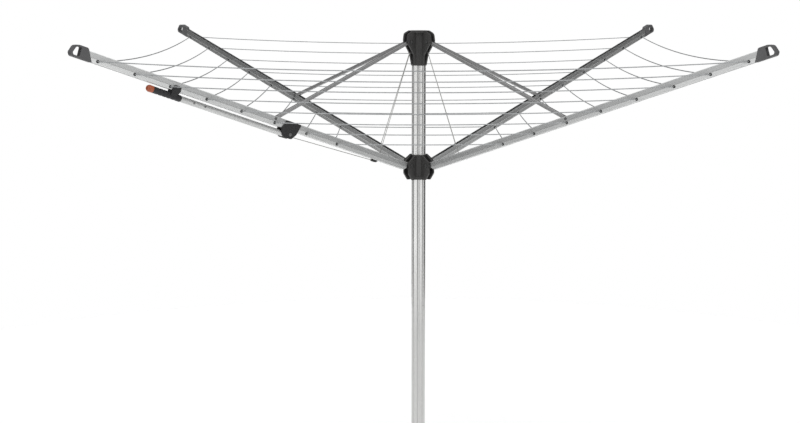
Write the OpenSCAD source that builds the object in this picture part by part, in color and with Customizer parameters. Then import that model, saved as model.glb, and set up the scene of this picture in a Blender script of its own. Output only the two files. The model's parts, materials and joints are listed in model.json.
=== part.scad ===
/* [Mast and hubs] */
// Outer diameter of the mast tube
mast_d = 50; // [48:0.5:52]
// Wall of the mast tube
mast_wall = 3.2; // [2.6:0.2:4]
// Number of flutes rolled into the mast
mast_flutes = 8; // [6:1:12]
// Turn of the flutes about the mast axis
flute_turn = -7; // [-22:1:22]
// Height of the arm pivots above the ground
runner_z = 1408; // [1300:1:1500]
// Height of the strut pivots above the arm pivots
hub_gap = 445; // [420:1:470]
// Distance of all eight hub pivots from the mast axis
pivot_r = 50; // [48:0.5:54]

/* [Arms and struts] */
// Rise of an open arm above the horizontal
arm_angle = 18.65; // [17:0.05:20]
// Distance along an arm from its pivot to the strut pin
strut_pin_at = 665; // [640:1:690]
// Distance along an arm from its pivot to the tip of its end cap
arm_reach = 1467; // [1455:1:1480]
// Width of the arm channel
arm_w = 16; // [16:0.5:18]
// Height of the arm channel
arm_h = 30; // [30:0.5:34]
// Width of a strut
strut_w = 10; // [9:0.5:11]
// Height of a strut
strut_h = 12.5; // [12:0.5:16]

/* [Clothes line] */
// Diameter of the line
line_d = 3.4; // [2.5:0.1:3.6]
// Distance of the outermost turn's holes from the mast axis
line_outer_r = 1355; // [1340:1:1360]
// Step between the outer three turns
line_outer_step = 128; // [120:1:132]
// Step between the other turns
line_step = 137.6; // [130:0.1:138]
// Number of turns at the outer step
line_outer_turns = 2; // [1:1:3]
// Number of turns
line_turns = 8; // [6:1:8]
// Sag of the outermost turn at mid-span
line_sag = 28; // [5:1:40]

/* [Lever] */
// Distance along the arm to the lever's pivot
lever_pivot_at = 594; // [585:1:595]
// Distance along the arm to the lever's tip
lever_reach = 1179; // [1160:1:1200]
// Diameter of the lever tube
lever_d = 19; // [17:0.5:20]

/* [Hidden] */
$fn = 48;

metal = "gainsboro";
plastic = "dimgray";
pin_metal = "silver";

// Fits
run = 0.05;             // radial clearance of a pin in its bore
turn_gap = 0.08;        // radial clearance of the mast in its collar
side_gap = 0.3;         // gap between parts that slide past each other
line_gap = 0.05;        // gap between a line's end and mid-span
line_knee = 0.2;        // how far the bend at an arm stands out from a line
pin_r = 4;

// Mast
mast_r = mast_d / 2;
mast_in_r = mast_r - mast_wall;
mast_bottom = -270;
hub_z = runner_z + hub_gap;
hub_top = 39;           // above the strut pivots
hub_bottom = -85;
mast_top = hub_z + hub_top - 5;
flute_r = 8;
flute_depth = 1.4;

// Ground tube
tube_in_r = mast_r + 2;
tube_r = tube_in_r + 4;
tube_floor = -300;
tube_point = -390;

// Strut, from the triangle of the hub gap and the arm
pin_out = strut_pin_at * cos(arm_angle);
pin_drop = hub_gap - strut_pin_at * sin(arm_angle);
strut_len = norm([pin_out, pin_drop]);
strut_angle = atan2(pin_drop, pin_out);

// Arm section, measured square to the line through the pivot
arm_top = 8;
arm_bottom = arm_top - arm_h;
arm_half = arm_w / 2;
arm_in = arm_half - 1.6;
arm_floor = arm_bottom + 1.6;
hole_w = arm_bottom + 8;
arm_end_low = arm_reach - 75.5;
arm_end_high = arm_reach - 59;

// Runner and upper hub forks
runner_slot = arm_half + 0.5;
fork_wall = 6;
hub_slot = strut_w / 2 + 0.8;
runner_top = 37;
runner_bottom = -53;
bush_r = mast_r + 1.6;

// Lift cords
pulley_at = [37, -36];
pulley_r = 6.3;
anchor_at = 158;
anchor_top = 6;
cord_r = 1.2;

// Lever
lever_w = arm_bottom - 16.5;
lever_pivot_w = arm_bottom - 14;
grip_r = lever_d / 2 + 1.1;
grip_from = lever_reach - 128;
grip_socket = 24;       // length of the tube inside the grip
tip_from = lever_reach - 20;
screws_at = [grip_from - 94, grip_from - 50];
screw_r = 1.6;
clip_at = lever_reach - 101;
bracket_half = lever_d / 2 + 3;
cord_from = [lever_pivot_at - 22, arm_bottom - 18];
cord_to = [190, arm_bottom - 4];

function az(i) = 225 + 90 * (i - 1);

// Radius of the holes of one turn, counted from the outside
function turn_r(k) = line_outer_r - line_outer_step * min(k, line_outer_turns)
    - line_step * max(k - line_outer_turns, 0);
// Distance along the arm to the holes of one turn
function turn_at(k) = (turn_r(k) - pivot_r + hole_w * sin(arm_angle)) / cos(arm_angle);
// Height of one turn above the ground
function turn_z(k) = runner_z + turn_at(k) * sin(arm_angle) + hole_w * cos(arm_angle);

// Unit vector from p to q
function toward(p, q) = (q - p) / norm(q - p);
// Points of the arc that rounds corner b, between a and c, with radius r
function corner(a, b, c, r, n = 6) =
    let (u = toward(b, a), v = toward(b, c), half = acos(u * v) / 2,
        mid = toward([0, 0], u + v), centre = b + mid * r / sin(half),
        start = b + u * r / tan(half) - centre, end = b + v * r / tan(half) - centre,
        from = atan2(start.y, start.x), to = atan2(end.y, end.x),
        sweep = to - from > 180 ? to - from - 360 : to - from < -180 ? to - from + 360 : to - from)
    [for (j = [0:n]) centre + r * [cos(from + sweep * j / n), sin(from + sweep * j / n)]];
// An outline of [x, y, corner radius] with its corners rounded
function rounded(p) = [for (i = [0:len(p) - 1])
    let (a = p[(i + len(p) - 1) % len(p)], b = p[i], c = p[(i + 1) % len(p)])
    each b.z > 0 ? corner([a.x, a.y], [b.x, b.y], [c.x, c.y], b.z) : [[b.x, b.y]]];

// Outlines of one fork cheek, as distance from the mast axis and height
hub_cheek = rounded([[22, hub_top, 0], [42, hub_top, 6], [66, 28, 12], [70, 2, 8],
    [38, -44, 20], [28, hub_bottom, 0], [22, hub_bottom, 0]]);
runner_cheek = rounded([[24, runner_top, 0], [31, runner_top, 4], [64, 12, 10],
    [65, -28, 8], [47, runner_bottom, 3], [24, runner_bottom, 0]]);

module at_arm(i) {
    rotate([0, 0, az(i)]) translate([pivot_r, 0, runner_z]) rotate([0, -arm_angle, 0]) children();
}

module at_strut(i) {
    rotate([0, 0, az(i)]) translate([pivot_r, 0, hub_z]) rotate([0, strut_angle, 0]) children();
}

// A flat outline in the X-Z plane, spread evenly to both sides of it
module plate(points, w) {
    rotate([90, 0, 0]) linear_extrude(w, center = true) polygon(points);
}

// A round bar across the X-Z plane
module across(at, r, w) {
    translate([at.x, 0, at.y]) rotate([90, 0, 0]) cylinder(r = r, h = w, center = true);
}

// A round bar from p to q, both in the X-Z plane
module bar(p, q, r) {
    translate([p.x, 0, p.y]) rotate([0, atan2(q.x - p.x, q.y - p.y), 0]) cylinder(r = r, h = norm(q - p));
}

// An extrusion along X of an outline in the Y-Z plane
module along(from, to) {
    translate([from, 0, 0]) rotate([90, 0, 90]) linear_extrude(to - from) children();
}

// Four forks around the mast
module forks(cheek, slot, z) {
    for (i = [1:4], side = [-1, 1])
        rotate([0, 0, az(i)]) translate([0, side * (slot + fork_wall / 2), z]) plate(cheek, fork_wall);
}

module ring(z0, z1, r_out, r_in) {
    translate([0, 0, z0]) difference() {
        cylinder(r = r_out, h = z1 - z0);
        translate([0, 0, -1]) cylinder(r = r_in, h = z1 - z0 + 2);
    }
}

module headed_pins(z, half, head_r, head) {
    for (i = [1:4]) rotate([0, 0, az(i)]) translate([pivot_r, 0, z]) {
        across([0, 0], pin_r, 2 * half);
        for (side = [-1, 1]) translate([0, side * (half - head / 2), 0]) across([0, 0], head_r, head);
    }
}

module ground_tube() {
    color("darkslategray") difference() {
        union() {
            translate([0, 0, tube_point + 60]) cylinder(r = tube_r, h = -tube_point - 60);
            translate([0, 0, tube_point]) cylinder(r1 = 4, r2 = tube_r, h = 60);
            cylinder(r = tube_r + 14, h = 6);
            for (a = [0:90:270]) rotate([0, 0, a]) translate([tube_r - 2, -2.5, -260]) cube([14, 5, 260]);
        }
        translate([0, 0, tube_floor]) cylinder(r = tube_in_r, h = 400);
    }
}

module ground_collar() {
    color(plastic) {
        ring(-30, 6, tube_in_r - run, mast_r + turn_gap);
        ring(6, 20, tube_r + 8, mast_r + turn_gap);
        difference() {
            translate([0, 0, 20]) cylinder(r1 = tube_r + 8, r2 = mast_r + 4, h = 10);
            translate([0, 0, 19]) cylinder(r = mast_r + turn_gap, h = 12);
        }
    }
}

module mast() {
    color(metal) translate([0, 0, mast_bottom]) linear_extrude(mast_top - mast_bottom) difference() {
        circle(r = mast_r);
        for (f = [0:mast_flutes - 1])
            rotate(f * 360 / mast_flutes - 90 + flute_turn)
                translate([mast_r + flute_r - flute_depth, 0]) circle(r = flute_r);
        circle(r = mast_in_r);
    }
}

module mast_foot() {
    color(plastic) {
        translate([0, 0, tube_floor + side_gap]) cylinder(r1 = 12, r2 = mast_r, h = 12);
        translate([0, 0, tube_floor + side_gap + 12])
            cylinder(r = mast_r, h = mast_bottom - tube_floor - side_gap - 12);
        translate([0, 0, mast_bottom]) cylinder(r = mast_in_r - side_gap, h = 40);
    }
}

module upper_hub() {
    color(plastic) difference() {
        union() {
            translate([0, 0, hub_z + hub_bottom]) cylinder(r = mast_r + 3.5, h = hub_top - hub_bottom);
            translate([0, 0, hub_z + hub_top - 7]) cylinder(r = 38, h = 7);
            forks(hub_cheek, hub_slot, hub_z);
        }
        translate([0, 0, hub_z + hub_bottom - 1]) cylinder(r = mast_r + run, h = hub_top - hub_bottom + 2);
        for (i = [1:4]) rotate([0, 0, az(i)]) translate([0, 0, hub_z]) {
            across([pivot_r, 0], pin_r + run, 60);
        }
    }
}

module hub_cap() {
    color(plastic) {
        translate([0, 0, mast_top]) cylinder(r = mast_r, h = hub_z + hub_top - mast_top);
        translate([0, 0, mast_top - 20]) cylinder(r = mast_in_r - side_gap, h = 20);
    }
}

module hub_pins() {
    color(pin_metal) headed_pins(hub_z, hub_slot + fork_wall + 1.5, 6, 1.4);
}

module lift_pulleys() {
    color("black") for (i = [1:4]) rotate([0, 0, az(i)]) translate([0, 0, hub_z]) {
        for (side = [-1, 1]) translate([0, side * 2.8, 0]) across(pulley_at, pulley_r, 2.4);
        across(pulley_at, pulley_r - 2, 6);
        across(pulley_at, 2, 2 * hub_slot - 0.1);
    }
}

module runner() {
    color(plastic) difference() {
        union() {
            translate([0, 0, runner_z + runner_bottom])
                cylinder(r = bush_r + 3, h = runner_top - runner_bottom);
            translate([0, 0, runner_z + runner_bottom]) cylinder(r = 33, h = 10);
            forks(runner_cheek, runner_slot, runner_z);
        }
        translate([0, 0, runner_z + runner_bottom - 1])
            cylinder(r = bush_r, h = runner_top - runner_bottom + 2);
        for (i = [1:4]) rotate([0, 0, az(i)]) translate([0, 0, runner_z])
            across([pivot_r, 0], pin_r + run, 60);
    }
}

module runner_bush() {
    color("lightgray")
        ring(runner_z + runner_bottom, runner_z + runner_top, bush_r - run, mast_r + run);
}

module runner_pins() {
    color(pin_metal) headed_pins(runner_z, runner_slot + fork_wall + 1.5, 6.5, 1.4);
}

module strut(i) {
    half = strut_w / 2;
    high = strut_h / 2;
    color(metal) at_strut(i) along(14, strut_len - 14) difference() {
        polygon(rounded([[-half, -high, 2], [half, -high, 2], [half, high, 2], [-half, high, 2]]));
        square([strut_w - 2.6, strut_h - 2.6], center = true);
    }
}

module strut_ends(i) {
    half = strut_w / 2;
    high = strut_h / 2;
    color(pin_metal) at_strut(i) for (end = [0, 1]) translate([end * strut_len, 0, 0]) mirror([end, 0, 0])
        difference() {
            union() {
                across([0, 0], 7, strut_w);
                translate([0, -half, -high + 0.5]) cube([13.8, strut_w, strut_h - 1]);
                translate([13, -half + 1.5, -high + 1.5]) cube([22, strut_w - 3, strut_h - 3]);
            }
            across([0, 0], pin_r + run, strut_w + 2);
        }
}

module arm(i) {
    side = [[14, arm_top], [14, arm_top - 16], [30, arm_bottom], [arm_end_low, arm_bottom],
        [arm_end_high, arm_top]];
    rail = arm_half - 0.6;
    half_section = [[arm_half - 1, arm_bottom], [arm_half, arm_bottom + 1],
        [arm_half, arm_bottom + 13], [rail, arm_bottom + 13.8], [rail, arm_top - 2.4],
        [arm_half, arm_top - 1.8], [arm_half, arm_top], [arm_in, arm_top], [arm_in, arm_floor]];
    section = concat(half_section, [for (j = [len(half_section) - 1:-1:0])
        [-half_section[j].x, half_section[j].y]]);
    color(metal) at_arm(i) difference() {
        intersection() {
            along(0, arm_reach) polygon(section);
            plate(side, arm_w + 2);
        }
        for (k = [0:line_turns - 1]) across([turn_at(k), hole_w], 3.2, arm_w + 2);
        across([strut_pin_at, 0], pin_r + run, arm_w + 2);
        if (i == 1) translate([cord_to.x - 16, 0, arm_bottom - 1]) cylinder(r = 3, h = 4);
    }
}

module arm_root(i) {
    body = rounded([[0, -12, 0], [12, -13, 0], [34, arm_floor + 0.1, 4], [62, arm_floor + 0.1, 0],
        [62, 4, 4], [14, 7, 4], [0, 12, 0]]);
    color(plastic) at_arm(i) difference() {
        union() {
            across([0, 0], 13, arm_w);
            plate(body, 2 * arm_in - 0.1);
        }
        across([0, 0], pin_r + run, arm_w + 2);
    }
}

module end_cap(i) {
    nose = rounded([[arm_end_low + 0.3, arm_bottom - 1, 1], [arm_reach - 5, arm_bottom - 1, 9],
        [arm_reach + 1, arm_bottom + 9, 7], [arm_reach - 7, arm_top + 2, 14],
        [arm_reach - 22, arm_top + 7.5, 10], [arm_end_high + 7, arm_top + 7.5, 5],
        [arm_end_high + 3.3, arm_top + 5, 2], [arm_end_high + 0.3, arm_top - 0.3, 0]]);
    loop = rounded([[arm_reach - 32, arm_bottom + 5, 3], [arm_reach - 10, arm_bottom + 5, 6],
        [arm_reach - 6, arm_bottom + 11, 5], [arm_reach - 13, arm_top - 2, 9],
        [arm_reach - 20, arm_top + 2.5, 4], [arm_reach - 32, arm_top + 2.5, 3]]);
    tongue = [[arm_end_low - 14, arm_floor + 0.1], [arm_end_low + 8, arm_floor + 0.1],
        [arm_end_high + 4, arm_top - 5], [arm_end_low - 11, arm_top - 5]];
    color(plastic) at_arm(i) difference() {
        union() {
            plate(nose, arm_w + 0.8);
            plate(tongue, 2 * arm_in - 0.1);
        }
        plate(loop, arm_w + 4);
    }
}

module grommets(i) {
    color("darkslategray") at_arm(i) for (k = [0:line_turns - 1], side = [-1, 1])
        translate([turn_at(k), side * (arm_half + 1), hole_w]) rotate([side * 90, 0, 0]) difference() {
            union() {
                cylinder(r = 4.8, h = 0.95);
                cylinder(r = 3.15, h = 3);
            }
            translate([0, 0, -1]) cylinder(r = 2.1, h = 6);
        }
}

module strut_pin(i) {
    color(pin_metal) at_arm(i) {
        across([strut_pin_at, 0], pin_r, arm_w);
        for (side = [-1, 1]) translate([0, side * (arm_half - 0.1), 0]) across([strut_pin_at, 0], 5, 0.9);
    }
}

// Block that holds a lift cord in an arm; the first one also guides the pull cord below its arm
module cord_anchor(i) {
    block = rounded([[anchor_at - 12, arm_floor + 0.1, 0], [anchor_at + 26, arm_floor + 0.1, 0],
        [anchor_at + 18, anchor_top, 3], [anchor_at - 12, anchor_top, 3]]);
    guide = rounded([[cord_to.x - 26, arm_bottom - 0.1, 1], [cord_to.x - 18, arm_bottom - 7.5, 3],
        [cord_to.x - 1, arm_bottom - 7.5, 2], [cord_to.x, arm_bottom - 0.1, 1]]);
    color("black") at_arm(i) {
        plate(block, 2 * arm_in - 0.1);
        if (i == 1) {
            plate(guide, arm_w - 4);
            translate([cord_to.x - 16, 0, arm_bottom - 1]) cylinder(r = 2.9, h = 4);
        }
    }
}

// A round line from the origin along X that sags by the arc it follows, level at its far end
module sagging(len, sag, r) {
    turn = 2 * atan(sag / len);
    bow = len / sin(turn);
    translate([len, 0, bow - sag]) rotate([90, 0, 0]) rotate([0, 0, -90 - turn])
        rotate_extrude(angle = turn - asin(line_gap / bow), $fn = 900)
            translate([bow, 0]) circle(r = r, $fn = 24);
}

// The quarter of every turn that passes through one arm, from mid-span to mid-span
module line(i) {
    bend = arm_half + 1.5;
    r = line_d / 2;
    color("whitesmoke") rotate([0, 0, az(i)]) for (k = [0:line_turns - 1])
        translate([turn_r(k), 0, turn_z(k)]) {
            rotate([90, 0, 0]) cylinder(r = r, h = 2 * bend, center = true);
            for (side = [-1, 1]) translate([0, side * bend, 0]) rotate([0, 0, side * 135]) {
                sphere(r = r + line_knee);
                sagging((turn_r(k) - bend) / sqrt(2), line_sag * pow(turn_r(k) / line_outer_r, 2), r);
            }
        }
}

// Cord from a pulley in the upper hub down to the anchor in an arm
module lift_cord(i) {
    out = anchor_at * cos(arm_angle) - anchor_top * sin(arm_angle);
    up = anchor_at * sin(arm_angle) + anchor_top * cos(arm_angle);
    top = [pulley_at.x + pulley_r + cord_r + 0.1, hub_z + pulley_at.y];
    color("lightgray") rotate([0, 0, az(i)])
        bar(top, [pivot_r + out, runner_z + up + 0.6], cord_r);
}

module lever_bracket() {
    shape = rounded([[lever_pivot_at - 40, arm_top - 1, 4], [lever_pivot_at + 23, arm_top - 1, 6],
        [lever_pivot_at + 43, arm_bottom - 5, 4], [lever_pivot_at + 28, lever_w - 12, 8],
        [lever_pivot_at - 10, lever_w - 11, 12], [lever_pivot_at - 27, arm_bottom - 8, 8]]);
    slot = lever_d / 2 + 0.5;
    color("black") at_arm(1) difference() {
        plate(shape, 2 * bracket_half);
        translate([0, -arm_half - 0.1, arm_bottom - 0.1]) cube([arm_reach, arm_w + 0.2, arm_h + 0.2]);
        translate([lever_pivot_at - 15, -slot, -100 + arm_bottom - 3.2]) cube([100, 2 * slot, 100]);
        across([lever_pivot_at, lever_pivot_w], pin_r + run, 60);
    }
}

module lever_pin() {
    half = bracket_half + 1.4;
    color(pin_metal) at_arm(1) {
        across([lever_pivot_at, lever_pivot_w], pin_r, 2 * half);
        for (side = [-1, 1]) translate([0, side * (half - 0.6), 0])
            across([lever_pivot_at, lever_pivot_w], 6, 1.2);
    }
}

module lever_root() {
    r = lever_d / 2;
    color("black") at_arm(1) difference() {
        union() {
            across([lever_pivot_at, lever_pivot_w], 9.8, lever_d - 0.4);
            translate([lever_pivot_at, -r + 0.2, lever_w - r + 0.2]) cube([24, lever_d - 0.4, lever_d - 1]);
            translate([lever_pivot_at + 20, 0, lever_w]) rotate([0, 90, 0]) cylinder(r = r - 1.55, h = 44);
        }
        across([lever_pivot_at, lever_pivot_w], pin_r + run, 60);
    }
}

module lever_tube() {
    from = lever_pivot_at + 24.5;
    color(metal) at_arm(1) difference() {
        translate([from, 0, lever_w]) rotate([0, 90, 0])
            cylinder(d = lever_d, h = grip_from + grip_socket - from);
        translate([0, 0, lever_w]) rotate([0, 90, 0]) cylinder(d = lever_d - 3, h = lever_reach);
        for (x = screws_at) translate([x, 0, lever_w]) rotate([-90, 0, 0])
            cylinder(r = screw_r + run, h = lever_d);
    }
}

module lever_screws() {
    color(pin_metal) at_arm(1) for (x = screws_at)
        translate([x, lever_d / 2 - 1.4, lever_w]) rotate([-90, 0, 0]) {
            cylinder(r = screw_r, h = 2);
            translate([0, 0, 1.5]) cylinder(r = 3, h = 1.4);
        }
}

module lever_grip() {
    r = grip_r;
    len = tip_from - grip_from;
    profile = [[0, r - 1], [2, r], for (g = [0:4]) each [[16 + 16 * g, r], [18 + 16 * g, r - 0.9],
        [22 + 16 * g, r - 0.9], [24 + 16 * g, r]], [len, r]];
    color("black") at_arm(1) translate([grip_from, 0, lever_w]) rotate([0, 90, 0]) difference() {
        rotate_extrude() polygon([[0, 0], for (p = profile) [p.y, p.x], [0, len]]);
        translate([0, 0, -1]) cylinder(d = lever_d + 0.1, h = grip_socket + 2);
    }
}

module lever_tip() {
    r = grip_r;
    nose = rounded([[0, tip_from, 0], [r, tip_from, 0], [r + 0.6, lever_reach - 8, 4],
        [r - 3, lever_reach, 5], [0, lever_reach, 0]]);
    color("chocolate") at_arm(1) translate([0, 0, lever_w]) rotate([0, 90, 0])
        rotate_extrude() polygon(nose);
}

module lever_clip() {
    shape = rounded([[clip_at - 14, arm_bottom + 18, 3], [clip_at + 8, arm_bottom + 18, 3],
        [clip_at + 14, arm_bottom + 8, 4], [clip_at + 19, lever_w - 1, 3], [clip_at - 3, lever_w - 1, 3],
        [clip_at - 15, arm_bottom + 2, 4]]);
    jaw = grip_r + 0.3;
    color("black") at_arm(1) difference() {
        plate(shape, 2 * jaw + 3.4);
        translate([0, -arm_half - 0.1, arm_bottom - 0.1]) cube([arm_reach, arm_w + 0.2, arm_h + 9]);
        translate([0, -jaw, lever_w + grip_r + 0.5 - 100]) cube([arm_reach, 2 * jaw, 100]);
    }
}

module pull_cord() {
    color("lightgray") at_arm(1) bar(cord_from + [-7.5, -0.3], cord_to + [0.3, 0], cord_r);
}

ground_tube();
ground_collar();
mast();
mast_foot();
upper_hub();
hub_cap();
hub_pins();
lift_pulleys();
runner();
runner_bush();
runner_pins();
strut(1);  // strut_1
strut(2);  // strut_2
strut(3);  // strut_3
strut(4);  // strut_4
strut_ends(1);  // strut_ends_1
strut_ends(2);  // strut_ends_2
strut_ends(3);  // strut_ends_3
strut_ends(4);  // strut_ends_4
arm(1);  // arm_1
arm(2);  // arm_2
arm(3);  // arm_3
arm(4);  // arm_4
arm_root(1);  // arm_root_1
arm_root(2);  // arm_root_2
arm_root(3);  // arm_root_3
arm_root(4);  // arm_root_4
end_cap(1);  // end_cap_1
end_cap(2);  // end_cap_2
end_cap(3);  // end_cap_3
end_cap(4);  // end_cap_4
grommets(1);  // grommets_1
grommets(2);  // grommets_2
grommets(3);  // grommets_3
grommets(4);  // grommets_4
strut_pin(1);  // strut_pin_1
strut_pin(2);  // strut_pin_2
strut_pin(3);  // strut_pin_3
strut_pin(4);  // strut_pin_4
cord_anchor(1);  // cord_anchor_1
cord_anchor(2);  // cord_anchor_2
cord_anchor(3);  // cord_anchor_3
cord_anchor(4);  // cord_anchor_4
line(1);  // line_1
line(2);  // line_2
line(3);  // line_3
line(4);  // line_4
lift_cord(1);  // lift_cord_1
lift_cord(2);  // lift_cord_2
lift_cord(3);  // lift_cord_3
lift_cord(4);  // lift_cord_4
lever_bracket();
lever_pin();
lever_root();
lever_tube();
lever_screws();
lever_grip();
lever_tip();
lever_clip();
pull_cord();
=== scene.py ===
import json
import math

import bpy
from mathutils import Matrix, Vector


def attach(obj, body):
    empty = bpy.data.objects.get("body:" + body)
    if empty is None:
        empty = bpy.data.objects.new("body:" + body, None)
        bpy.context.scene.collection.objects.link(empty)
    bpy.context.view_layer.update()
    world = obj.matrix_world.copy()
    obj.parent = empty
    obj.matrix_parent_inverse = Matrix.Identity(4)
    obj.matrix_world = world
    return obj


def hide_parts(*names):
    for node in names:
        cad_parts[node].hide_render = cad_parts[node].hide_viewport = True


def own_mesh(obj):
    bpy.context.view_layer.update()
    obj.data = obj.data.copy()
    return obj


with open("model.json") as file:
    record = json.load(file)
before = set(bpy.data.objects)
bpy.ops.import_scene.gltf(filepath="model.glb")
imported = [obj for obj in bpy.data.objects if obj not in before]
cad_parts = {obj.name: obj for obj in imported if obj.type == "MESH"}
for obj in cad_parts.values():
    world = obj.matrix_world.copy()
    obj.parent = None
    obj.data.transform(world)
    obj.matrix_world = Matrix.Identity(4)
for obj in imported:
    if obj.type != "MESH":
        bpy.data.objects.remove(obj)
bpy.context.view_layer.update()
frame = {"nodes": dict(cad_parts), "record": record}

# Driving dimensions, in metres, as in the design
PIVOT_R = 0.050                        # arm and strut pivots from the mast axis
RUNNER_Z = 1.408                       # height of the arm pivots
HUB_Z = 1.853                          # height of the strut pivots
ARM_ANGLE = math.radians(18.65)
ARM_HALF = 0.008
ARM_TOP = 0.008
ARM_BOTTOM = -0.022
HOLE_W = ARM_BOTTOM + 0.008
LINE_R = 0.0017
LINE_OUTER_R = 1.355
LINE_OUTER_STEP = 0.128                # between the outer turns
LINE_OUTER_TURNS = 2
LINE_STEP = 0.1376                     # between the inner turns
LINE_TURNS = 8
LINE_SAG = 0.028                       # at mid-span of the outermost turn
FOLDED_ANGLE = math.radians(85.952)    # rise of a folded arm
BEND = ARM_HALF + 0.0015               # where a turn bends, outside each arm wall
KNEE = 0.0012                          # how far a crossing reaches past its bends
CORD_R = 0.0012
ANCHOR_AT = 0.158                      # where a lift cord meets its arm
ANCHOR_TOP = 0.006
PULLEY_OUT = 0.0446                    # outer side of a lift pulley, from the mast axis
PULLEY_DROP = 0.036                    # below the strut pivots
STRUT_ANGLE = math.radians(20.2414)
MAST_R = 0.025
FLOOR_R = 4.0
ARMS = (1, 2, 3, 4)


def azimuth(i):
    return math.radians(225 + 90 * (i - 1))


def turn_r(k):
    """Where turn k crosses an arm: its distance from the mast axis."""
    inner = max(k - LINE_OUTER_TURNS, 0)
    return LINE_OUTER_R - LINE_OUTER_STEP * min(k, LINE_OUTER_TURNS) - LINE_STEP * inner


def turn_at(k):
    """The same along the arm, from its root pivot."""
    return (turn_r(k) - PIVOT_R + HOLE_W * math.sin(ARM_ANGLE)) / math.cos(ARM_ANGLE)


def turn_z(k):
    return RUNNER_Z + turn_at(k) * math.sin(ARM_ANGLE) + HOLE_W * math.cos(ARM_ANGLE)


def around(i, out, side, z):
    """A point given by its distance out along arm i, its offset to the side and its height."""
    a = azimuth(i)
    return Vector((out * math.cos(a) - side * math.sin(a), out * math.sin(a) + side * math.cos(a), z))


# Meshes

def tube(name, points, radius, sides=10):
    """A closed round tube that follows the points."""
    count = len(points)
    verts, faces = [], []
    for n, p in enumerate(points):
        ahead = (points[min(n + 1, count - 1)] - points[max(n - 1, 0)]).normalized()
        across = ahead.cross(Vector((0, 0, 1)))
        across = across.normalized() if across.length > 1e-6 else Vector((1, 0, 0))
        up = across.cross(ahead)
        for s in range(sides):
            t = 2 * math.pi * s / sides
            verts.append(p + radius * (math.cos(t) * across + math.sin(t) * up))
    for n in range(count - 1):
        for s in range(sides):
            a, b = n * sides + s, n * sides + (s + 1) % sides
            faces.append((a, b, b + sides, a + sides))
    faces.append(tuple(range(sides))[::-1])
    faces.append(tuple((count - 1) * sides + s for s in range(sides)))
    mesh = bpy.data.meshes.new(name)
    mesh.from_pydata([tuple(v) for v in verts], [], faces)
    mesh.validate()
    for face in mesh.polygons:
        face.use_smooth = len(face.vertices) == 4
    mesh.update()
    piece = bpy.data.objects.new(name, mesh)
    bpy.context.scene.collection.objects.link(piece)
    return piece


def dress(piece, material):
    piece.data.materials.clear()
    piece.data.materials.append(material)


# Materials

class Nodes:
    """Short calls for the nodes of one tree."""

    def __init__(self, tree):
        self.tree = tree

    def node(self, kind, values=(), **settings):
        node = self.tree.nodes.new(kind)
        for key, value in settings.items():
            setattr(node, key, value)
        for key, value in dict(values).items():
            self.feed(node.inputs[key], value)
        return node

    def feed(self, socket, value):
        """Links a socket to another one, or sets its value."""
        if isinstance(value, bpy.types.NodeSocket):
            self.tree.links.new(value, socket)
        else:
            socket.default_value = value

    def place(self, rotation=(0, 0, 0), scale=(1, 1, 1)):
        """The rest position of each point, turned and then scaled."""
        coordinates = self.node("ShaderNodeTexCoord").outputs["Object"]
        turned = self.node("ShaderNodeMapping", {"Vector": coordinates, "Rotation": rotation})
        return self.node("ShaderNodeMapping", {"Vector": turned.outputs[0], "Scale": scale}).outputs[0]

    def noise(self, where, scale, detail=3.0, roughness=0.5):
        values = {"Vector": where, "Scale": scale, "Detail": detail, "Roughness": roughness}
        return self.node("ShaderNodeTexNoise", values).outputs["Fac"]

    def span(self, value, low, high, start=0.0, end=1.0):
        """Takes start..end of a value to low..high."""
        values = {"Value": value, "From Min": start, "From Max": end, "To Min": low, "To Max": high}
        return self.node("ShaderNodeMapRange", values).outputs[0]

    def mix(self, factor, a, b):
        node = self.node("ShaderNodeMix", data_type="RGBA")
        for key, value in ((0, factor), (6, a), (7, b)):
            self.feed(node.inputs[key], value)
        return node.outputs[2]

    def maths(self, operation, a, b=0.0):
        """One step of arithmetic on a and b."""
        return self.node("ShaderNodeMath", {0: a, 1: b}, operation=operation).outputs[0]

    def bump(self, height, strength, distance, normal=None):
        values = {"Height": height, "Strength": strength, "Distance": distance}
        if normal is not None:
            values["Normal"] = normal
        return self.node("ShaderNodeBump", values).outputs[0]


class Shader(Nodes):
    """A node material with one Principled shader."""

    def __init__(self, name):
        self.material = bpy.data.materials.new(name)
        self.material.use_nodes = True
        super().__init__(self.material.node_tree)
        self.bsdf = self.tree.nodes["Principled BSDF"]

    def set(self, key, value):
        self.feed(self.bsdf.inputs[key], value)


def grey(value):
    return (value, value, value, 1)


def extruded_metal(name, rotation, light, dark, rough=(0.22, 0.32), shade=None):
    """Satin anodised aluminium with fine die lines along its length; shade(s) darkens it locally."""
    s = Shader(name)
    die_lines = s.noise(s.place(rotation, (1, 420, 420)), 1.0, 2.0, 0.5)
    clouds = s.noise(s.place(rotation, (6, 40, 40)), 1.0, 4.0, 0.6)
    marks = s.noise(s.place(rotation, (60, 260, 260)), 1.0, 5.0, 0.7)
    colour = s.mix(s.span(clouds, 0.0, 1.0, 0.3, 0.7), dark, light)
    if shade:
        # Painted shade: the colour darkens towards 0.55 of the dark tone where shade(s) is high
        colour = s.mix(shade(s), colour, tuple(0.55 * c for c in dark[:3]) + (1,))
    s.set("Base Color", colour)
    s.set("Metallic", 0.92)
    base = s.span(die_lines, rough[0], rough[1], 0.3, 0.7)
    s.set("Roughness", s.maths("ADD", base, s.span(marks, 0.0, 0.06, 0.55, 0.75)))
    s.set("Normal", s.bump(die_lines, 0.03, 0.0002))
    return s.material


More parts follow.
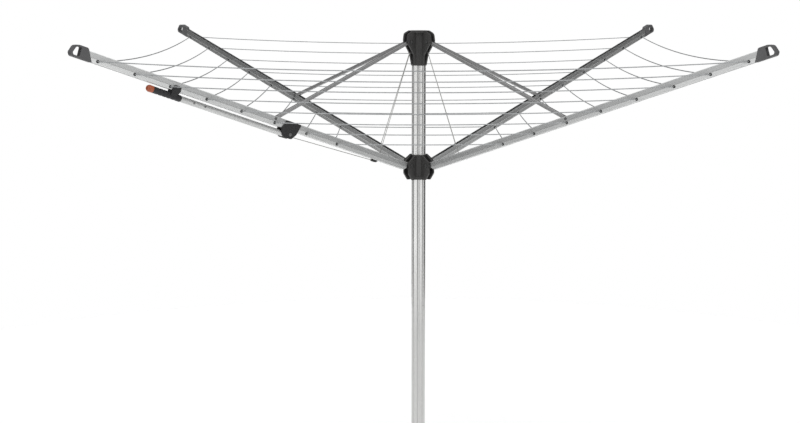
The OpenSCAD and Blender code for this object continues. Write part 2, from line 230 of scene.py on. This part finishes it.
def moulded_plastic(name, colour, rough, edge=0.0012):
    """Moulded plastic with a fine eroded grain, softened edges and slightly rubbed corners."""
    s = Shader(name)
    where = s.place()
    fine = s.noise(where, 1400.0, 3.0, 0.6)
    flow = s.noise(where, 28.0, 4.0, 0.6)
    soft = s.node("ShaderNodeBevel", {"Radius": edge}, samples=4).outputs[0]
    flat = s.node("ShaderNodeNewGeometry").outputs["Normal"]
    level = s.node("ShaderNodeVectorMath", {0: soft, 1: flat}, operation="DOT_PRODUCT").outputs["Value"]
    rub = s.span(level, 0.40, 0.0, 0.80, 0.99)
    pale = tuple(min(1.0, c * 1.9 + 0.02) for c in colour[:3]) + (1,)
    dark = tuple(c * 0.80 for c in colour[:3]) + (1,)
    body = s.mix(s.span(flow, 0.0, 1.0, 0.3, 0.7), dark, colour)
    s.set("Base Color", s.mix(rub, body, pale))
    s.set("Roughness", s.span(flow, rough - 0.05, rough + 0.08, 0.3, 0.7))
    s.set("Normal", s.bump(fine, 0.12, 0.0002, soft))
    return s.material


def pin_steel(name):
    s = Shader(name)
    where = s.place()
    s.set("Base Color", s.mix(s.noise(where, 90.0), grey(0.14), grey(0.24)))
    s.set("Metallic", 1.0)
    s.set("Roughness", s.span(s.noise(where, 300.0, 4.0), 0.26, 0.44, 0.3, 0.7))
    s.set("Normal", s.bump(s.noise(where, 1500.0), 0.08, 0.0002))
    return s.material


def coated_line(name):
    """Plasticised line: a smooth, slightly uneven grey coat."""
    s = Shader(name)
    where = s.place()
    s.set("Base Color", s.mix(s.span(s.noise(where, 60.0, 4.0), 0.0, 1.0, 0.3, 0.7),
                              (0.27, 0.28, 0.285, 1), (0.36, 0.37, 0.375, 1)))
    s.set("Roughness", s.span(s.noise(where, 200.0), 0.30, 0.45, 0.3, 0.7))
    s.set("Coat Weight", 0.25)
    s.set("Normal", s.bump(s.noise(where, 700.0), 0.10, 0.0002))
    return s.material


def braided_cord(name):
    s = Shader(name)
    where = s.place()
    strands = s.node("ShaderNodeTexWave", {"Vector": where, "Scale": 900.0, "Distortion": 1.5},
                     bands_direction="DIAGONAL").outputs["Fac"]
    s.set("Base Color", s.mix(strands, (0.20, 0.20, 0.19, 1), (0.42, 0.42, 0.40, 1)))
    s.set("Roughness", s.span(strands, 0.75, 0.9))
    s.set("Normal", s.bump(strands, 0.4, 0.0003))
    return s.material


def rubber(name):
    s = Shader(name)
    where = s.place()
    dust = s.noise(where, 45.0, 5.0, 0.65)
    s.set("Base Color", s.mix(s.span(dust, 0.0, 0.5, 0.5, 0.75), (0.014, 0.014, 0.016, 1), grey(0.07)))
    s.set("Roughness", s.span(dust, 0.5, 0.68, 0.3, 0.7))
    s.set("Normal", s.bump(s.noise(where, 1800.0), 0.2, 0.0002))
    return s.material


def along_arm(i):
    """Turns rest positions so that arm i lies along X."""
    turn = Matrix.Rotation(ARM_ANGLE, 4, "Y") @ Matrix.Rotation(-azimuth(i), 4, "Z")
    return tuple(turn.to_euler())


def along_strut(i):
    """Turns rest positions so that strut i lies along X."""
    turn = Matrix.Rotation(-STRUT_ANGLE, 4, "Y") @ Matrix.Rotation(-azimuth(i), 4, "Z")
    return tuple(turn.to_euler())


def arm_painted_shade_band(i):
    """Painted shade: a darker band along the upper part of arm i."""
    base = RUNNER_Z * math.cos(ARM_ANGLE) - PIVOT_R * math.sin(ARM_ANGLE)

    def shade(s):
        up = s.node("ShaderNodeSeparateXYZ", {0: s.place(along_arm(i))}).outputs["Z"]
        lower = s.span(up, 0.0, 1.0, base + ARM_BOTTOM + 0.0125, base + ARM_BOTTOM + 0.0145)
        upper = s.span(up, 1.0, 0.0, base + ARM_TOP - 0.0025, base + ARM_TOP - 0.001)
        # Painted shade: the band's mask, at most 0.55
        return s.maths("MULTIPLY", s.maths("MINIMUM", lower, upper), 0.55)
    return shade


def mast_painted_shade(s):
    """Painted shade in the flutes, and painted shade that darkens the lower end."""
    flat = s.place(scale=(1, 1, 0))
    radius = s.node("ShaderNodeVectorMath", {0: flat}, operation="LENGTH").outputs["Value"]
    # Painted shade: darker in the flute bottoms, near the mast axis
    flute_shade = s.span(radius, 1.0, 0.0, MAST_R - 0.0014, MAST_R - 0.0002)
    height = s.node("ShaderNodeSeparateXYZ", {0: s.place()}).outputs["Z"]
    # Painted shade: darker towards the bottom of the mast
    low = s.span(height, 0.68, 0.0, 0.78, 1.15)
    return s.maths("MAXIMUM", flute_shade, low)


ARM_LIGHT = (0.78, 0.785, 0.78, 1)
ARM_DARK = (0.66, 0.67, 0.67, 1)
UPRIGHT = (0, math.pi / 2, 0)
# Painted shade: each arm's metal takes the darker band along its upper part
arm_metal = {i: extruded_metal(f"arm_metal_{i}", along_arm(i), ARM_LIGHT, ARM_DARK, shade=arm_painted_shade_band(i))
             for i in ARMS}
# Painted shade: the struts take a darker copy of the arm metal
strut_painted_shade_metal = {i: extruded_metal(f"strut_painted_shade_metal_{i}", along_strut(i), grey(0.42), grey(0.35), (0.36, 0.46))
               for i in ARMS}
materials = {
    # Painted shade in the mast's flutes and towards its lower end
    "mast_metal": extruded_metal("mast_metal", UPRIGHT, (0.90, 0.90, 0.89, 1), (0.80, 0.80, 0.79, 1),
                                 (0.20, 0.30), mast_painted_shade),
    "arm_metal": extruded_metal("tube_metal", along_arm(1), (0.64, 0.645, 0.64, 1), (0.56, 0.565, 0.56, 1),
                                (0.48, 0.58)),
    "hub_plastic": moulded_plastic("hub_plastic", (0.038, 0.037, 0.036, 1), 0.44),
    "cap_plastic": moulded_plastic("cap_plastic", (0.105, 0.105, 0.108, 1), 0.42),
    "black_plastic": moulded_plastic("black_plastic", (0.014, 0.014, 0.015, 1), 0.38, edge=0.0006),
    "tube_plastic": moulded_plastic("tube_plastic", (0.05, 0.055, 0.055, 1), 0.5),
    "bush_plastic": moulded_plastic("bush_plastic", (0.5, 0.5, 0.48, 1), 0.35),
    "tip_orange": moulded_plastic("tip_orange", (0.46, 0.11, 0.045, 1), 0.36),
    "rivet_steel": pin_steel("rivet_steel"),
    "line_pvc": coated_line("line_pvc"),
    "cord_fibre": braided_cord("cord_fibre"),
    "grip_rubber": rubber("grip_rubber"),
}

for part in frame["record"]["subparts"]:
    name = part["node"]
    finish = materials[part["material_slot"]]
    if name.startswith("arm_") and name[4:].isdigit():
        finish = arm_metal[int(name[4:])]
    if name.startswith("strut_") and part["material_slot"] == "arm_metal":
        finish = strut_painted_shade_metal[int(name[-1])]
    node = frame["nodes"][name]
    node.data.materials.clear()
    node.data.materials.append(finish)


# Clothes line

def turn_half(i, k, side):
    """Half a side of one turn, from arm i to mid-span, where the next arm's half meets it."""
    start = around(i, turn_r(k), side * BEND, turn_z(k))
    middle = (turn_r(k) + BEND) / 2
    end = around(i, middle, side * middle, turn_z(k))
    sag = LINE_SAG * (turn_r(k) / LINE_OUTER_R) ** 2
    steps = 24
    points = []
    for n in range(steps + 1):
        t = n / steps
        points.append(start.lerp(end, t) - Vector((0, 0, sag * (1 - (1 - t) ** 2))))
    piece = tube(f"line_{i}_{'left' if side > 0 else 'right'}_{k + 1}", points, LINE_R)
    dress(piece, materials["line_pvc"])
    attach(piece, f"arm_{i}")
    rise = FOLDED_ANGLE - ARM_ANGLE
    folded_r = PIVOT_R + turn_at(k) * math.cos(FOLDED_ANGLE) - HOLE_W * math.sin(FOLDED_ANGLE)
    folded_r += sag * math.sin(rise)
    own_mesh(piece)
    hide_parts(f"line_{i}")


def turn_crossing(i, k):
    """The stretch of one turn that crosses arm i inside its grommets, with a bend at each end."""
    z = turn_z(k)
    points = [around(i, turn_r(k) - KNEE, -BEND - KNEE, z)]
    points += [around(i, turn_r(k), side * BEND * 0.94, z) for side in (-1, 0, 1)]
    points += [around(i, turn_r(k) - KNEE, BEND + KNEE, z)]
    piece = tube(f"line_{i}_crossing_{k + 1}", points, LINE_R)
    dress(piece, materials["line_pvc"])
    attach(piece, f"arm_{i}")
    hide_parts(f"line_{i}")


for i in ARMS:
    for k in range(LINE_TURNS):
        turn_crossing(i, k)
        for side in (-1, 1):
            turn_half(i, k, side)


# Lift cords, straight from the pulleys below the hub to the arms

def lift_cord(i):
    top = around(i, PULLEY_OUT, 0, HUB_Z - PULLEY_DROP)
    out = PIVOT_R + ANCHOR_AT * math.cos(ARM_ANGLE) - ANCHOR_TOP * math.sin(ARM_ANGLE)
    up = ANCHOR_AT * math.sin(ARM_ANGLE) + ANCHOR_TOP * math.cos(ARM_ANGLE)
    foot = around(i, out, 0, RUNNER_Z + up)
    steps = 12
    points = [top.lerp(foot, n / steps) for n in range(steps + 1)]
    piece = tube(f"lift_cord_{i}_braid", points, CORD_R)
    dress(piece, materials["cord_fibre"])
    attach(piece, "mast")
    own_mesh(piece)
    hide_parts(f"lift_cord_{i}")


for i in ARMS:
    lift_cord(i)


# Floor, light and camera

def floor():
    """A round pale floor, wide enough for the open arms and their shadow."""
    turns = [math.radians(a) for a in range(0, 360, 5)]
    rim = [(FLOOR_R * math.cos(a), FLOOR_R * math.sin(a), 0) for a in turns]
    mesh = bpy.data.meshes.new("floor")
    mesh.from_pydata(rim, [], [tuple(range(len(rim)))])
    plane = bpy.data.objects.new("floor", mesh)
    bpy.context.scene.collection.objects.link(plane)
    s = Shader("floor_paint")
    s.set("Base Color", s.mix(s.noise(s.place(), 0.7), grey(0.93), grey(0.95)))
    s.set("Roughness", 0.9)
    s.set("Specular IOR Level", 0.1)
    mesh.materials.append(s.material)


# Light from around the studio: cosine of the angle from the camera's side, and brightness
AROUND = ((-1.0, 0.05), (-0.24, 0.06), (-0.09, 0.10), (-0.03, 0.22), (0.05, 0.54), (0.14, 0.72),
          (0.22, 1.12), (0.36, 1.0), (0.88, 0.88), (0.96, 0.45), (1.0, 0.32))
OVERHEAD = 0.95


def studio_world():
    """Soft light from above and from both front sides, and a dark side behind the object."""
    world = bpy.data.worlds.new("studio")
    bpy.context.scene.world = world
    world.use_nodes = True
    s = Nodes(world.node_tree)
    s.tree.nodes.clear()
    direction = s.node("ShaderNodeTexCoord").outputs["Generated"]
    level = s.node("ShaderNodeVectorMath", {0: direction, 1: (1, 1, 0)}, operation="MULTIPLY").outputs[0]
    level = s.node("ShaderNodeVectorMath", {0: level}, operation="NORMALIZE").outputs[0]
    camera_side = (0.03, -1, 0)
    facing = s.node("ShaderNodeVectorMath", {0: level, 1: camera_side}, operation="DOT_PRODUCT")
    ramp = s.node("ShaderNodeValToRGB", {0: s.span(facing.outputs["Value"], 0.0, 1.0, -1.0, 1.0)})
    stops = ramp.color_ramp.elements
    while len(stops) < len(AROUND):
        stops.new(0.5)
    for stop, (cosine, bright) in zip(stops, AROUND):
        stop.position = (cosine + 1) / 2
        stop.color = grey(bright)
    height = s.node("ShaderNodeSeparateXYZ", {0: direction}).outputs["Z"]
    above = s.span(height, 0.0, 1.0, 0.62, 0.82)
    lit = s.node("ShaderNodeBackground", {0: s.mix(above, ramp.outputs[0], grey(OVERHEAD))})
    seen = s.node("ShaderNodeBackground", {0: grey(1.0)})
    camera_ray = s.node("ShaderNodeLightPath").outputs["Is Camera Ray"]
    both = s.node("ShaderNodeMixShader", {0: camera_ray, 1: lit.outputs[0], 2: seen.outputs[0]})
    s.node("ShaderNodeOutputWorld", {0: both.outputs[0]})


def soft_sun():
    light = bpy.data.lights.new("soft_sun", "SUN")
    light.energy = 1.5
    light.angle = math.radians(60)
    lamp = bpy.data.objects.new("soft_sun", light)
    lamp.rotation_euler = (math.radians(20), math.radians(-10), 0)
    lamp.visible_glossy = False
    bpy.context.scene.collection.objects.link(lamp)


def camera():
    data = bpy.data.cameras.new("camera")
    data.lens = 63.2
    data.sensor_width = 36
    eye = bpy.data.objects.new("camera", data)
    eye.location = (-0.068, -5.090, 2.060)
    eye.rotation_euler = (math.radians(90 - 9.23), 0, 0)
    bpy.context.scene.collection.objects.link(eye)
    bpy.context.scene.camera = eye


floor()
studio_world()
soft_sun()
camera()
bpy.context.scene.view_settings.view_transform = "Standard"
